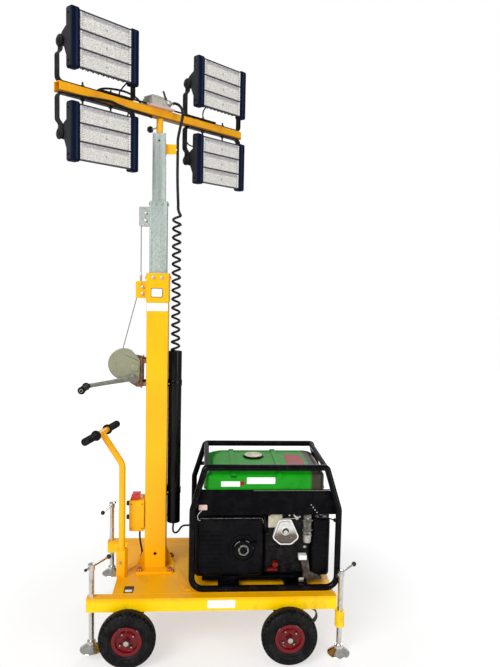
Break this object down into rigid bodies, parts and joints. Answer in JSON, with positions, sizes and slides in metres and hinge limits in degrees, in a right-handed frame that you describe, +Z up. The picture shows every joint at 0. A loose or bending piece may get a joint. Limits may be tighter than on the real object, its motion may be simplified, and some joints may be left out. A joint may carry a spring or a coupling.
{
  "type": "mobile light tower",
  "caption": "Hand trolley with a winch-raised telescopic mast, floodlights on a turning crossbar, screw jacks and an open-frame generator.",
  "frame": {"origin": "on the ground under the middle of the machine's plan", "axes": "+Z up; +X from the push handle towards the generator; -Y is the working side with the winch crank"},
  "size_m": [1.3254, 0.828, 2.7158],
  "materials": {
    "yellow_paint": "gloss safety yellow paint with light dirt",
    "amber_paint": "gloss amber paint on the crossbar",
    "galvanised": "hot dip galvanised steel",
    "chrome": "bright plated steel",
    "wire_rope": "steel wire rope",
    "black_steel": "satin black paint",
    "dark_steel": "dark grey painted steel",
    "brown_steel": "brown primed steel with rust",
    "olive_paint": "olive grey enamel",
    "black_plastic": "black plastic",
    "black_rubber": "black rubber",
    "tyre_rubber": "black tyre with tread",
    "red_paint": "dark red rim paint",
    "red_plastic": "red plastic",
    "green_paint": "glossy green tank paint",
    "grey_plastic": "light grey plastic",
    "cast_alloy": "die cast alloy",
    "engine_metal": "black painted castings",
    "navy_metal": "navy blue coated aluminium",
    "lens_plastic": "clear lens plate over white boards"
  },
  "bodies": {
    "root": {"side_beams": "yellow_paint", "cross_members": "yellow_paint", "deck_plate": "yellow_paint", "jack_brackets": "yellow_paint", "axles": "dark_steel", "mast_outer": "yellow_paint", "lower_rope_block": "yellow_paint", "winch_frame": "brown_steel", "winch_cover": "olive_paint", "winch_rope": "wire_rope", "conduit": "black_plastic", "supply_cable": "black_plastic", "control_box": "yellow_paint", "box_fittings": "red_plastic", "handle": "yellow_paint", "handle_grips": "black_rubber", "gen_frame": "black_steel", "gen_tank": "green_paint", "gen_tank_cap": "grey_plastic", "gen_panel": "black_steel", "gen_alternator": "black_plastic", "gen_engine": "engine_metal", "gen_head_cover": "cast_alloy", "gen_air_cleaner": "black_plastic"},
    "winch_drum": {"winch_drum": "wire_rope"},
    "winch_crank": {"winch_crank": "olive_paint", "crank_grip": "black_rubber"},
    "mast_middle": {"mast_middle": "galvanised", "upper_rope_block": "galvanised", "lift_rope": "wire_rope", "coil_lower": "black_plastic"},
    "mast_inner": {"mast_inner": "galvanised", "cable_clip": "yellow_paint", "coil_upper": "black_plastic", "mast_cable": "black_plastic"},
    "head": {"crossbar": "amber_paint", "junction_box": "grey_plastic", "light_yokes": "black_steel", "light_leads": "black_plastic", "head_lead": "black_plastic"},
    "upper_left_light": {"upper_left_light": "navy_metal", "upper_left_lens": "lens_plastic"},
    "upper_right_light": {"upper_right_light": "navy_metal", "upper_right_lens": "lens_plastic"},
    "lower_left_light": {"lower_left_light": "navy_metal", "lower_left_lens": "lens_plastic"},
    "lower_right_light": {"lower_right_light": "navy_metal", "lower_right_lens": "lens_plastic"},
    "front_left_wheel": {"front_left_tyre": "tyre_rubber", "front_left_rim": "red_paint"},
    "front_right_wheel": {"front_right_tyre": "tyre_rubber", "front_right_rim": "red_paint"},
    "rear_left_wheel": {"rear_left_tyre": "tyre_rubber", "rear_left_rim": "red_paint"},
    "rear_right_wheel": {"rear_right_tyre": "tyre_rubber", "rear_right_rim": "red_paint"},
    "front_left_jack": {"front_left_jack": "chrome"},
    "front_right_jack": {"front_right_jack": "chrome"},
    "rear_left_jack": {"rear_left_jack": "chrome"},
    "rear_right_jack": {"rear_right_jack": "chrome"}
  },
  "joints": [
    {"name": "mast_middle_slide", "type": "slide", "parent": "root", "child": "mast_middle", "axis": [0, 0, 1], "range_m": [-0.205, 0.7], "deforming": ["lift_rope", "coil_lower"]},
    {"name": "mast_inner_slide", "type": "slide", "parent": "mast_middle", "child": "mast_inner", "axis": [0, 0, 1], "range_m": [-0.205, 0.7], "deforming": ["coil_upper"]},
    {"name": "head_pan", "type": "hinge", "parent": "mast_inner", "child": "head", "pos_m": [-0.27026, 0, 2.324], "axis": [0, 0, 1], "range_deg": [-90, 90], "deforming": ["head_lead"]},
    {"name": "upper_left_tilt", "type": "hinge", "parent": "head", "child": "upper_left_light", "pos_m": [-0.51421, -0.24395, 2.5923], "axis": [0.7071, 0.7071, 0], "range_deg": [-90, 90]},
    {"name": "upper_right_tilt", "type": "hinge", "parent": "head", "child": "upper_right_light", "pos_m": [-0.0263, 0.24395, 2.5923], "axis": [0.7071, 0.7071, 0], "range_deg": [-90, 90]},
    {"name": "lower_left_tilt", "type": "hinge", "parent": "head", "child": "lower_left_light", "pos_m": [-0.51421, -0.24395, 2.2323], "axis": [0.7071, 0.7071, 0], "range_deg": [-90, 90]},
    {"name": "lower_right_tilt", "type": "hinge", "parent": "head", "child": "lower_right_light", "pos_m": [-0.0263, 0.24395, 2.2323], "axis": [0.7071, 0.7071, 0], "range_deg": [-90, 90]},
    {"name": "winch_crank_turn", "type": "hinge", "parent": "root", "child": "winch_crank", "pos_m": [-0.37326, -0.094, 1.206], "axis": [0, 1, 0], "continuous": true},
    {"name": "winch_drum_turn", "type": "hinge", "parent": "root", "child": "winch_drum", "pos_m": [-0.41926, 0, 1.268], "axis": [0, 1, 0], "continuous": true},
    {"name": "front_left_wheel_spin", "type": "hinge", "parent": "root", "child": "front_left_wheel", "pos_m": [-0.36226, -0.373, 0.123], "axis": [0, 1, 0], "continuous": true},
    {"name": "front_right_wheel_spin", "type": "hinge", "parent": "root", "child": "front_right_wheel", "pos_m": [0.33774, -0.373, 0.123], "axis": [0, 1, 0], "continuous": true},
    {"name": "rear_left_wheel_spin", "type": "hinge", "parent": "root", "child": "rear_left_wheel", "pos_m": [-0.36226, 0.373, 0.123], "axis": [0, 1, 0], "continuous": true},
    {"name": "rear_right_wheel_spin", "type": "hinge", "parent": "root", "child": "rear_right_wheel", "pos_m": [0.33774, 0.373, 0.123], "axis": [0, 1, 0], "continuous": true},
    {"name": "front_left_jack_screw", "type": "slide", "parent": "root", "child": "front_left_jack", "axis": [0, 0, 1], "range_m": [-0.1, 0.07]},
    {"name": "front_right_jack_screw", "type": "slide", "parent": "root", "child": "front_right_jack", "axis": [0, 0, 1], "range_m": [-0.06, 0.08]},
    {"name": "rear_left_jack_screw", "type": "slide", "parent": "root", "child": "rear_left_jack", "axis": [0, 0, 1], "range_m": [-0.155, 0.07]},
    {"name": "rear_right_jack_screw", "type": "slide", "parent": "root", "child": "rear_right_jack", "axis": [0, 0, 1], "range_m": [-0.1, 0.04]}
  ],
  "couplings": [
    {"joint": "mast_inner_slide", "follows": "mast_middle_slide", "ratio": 1},
    {"joint": "winch_crank_turn", "follows": "winch_drum_turn", "ratio": -4.2}
  ]
}
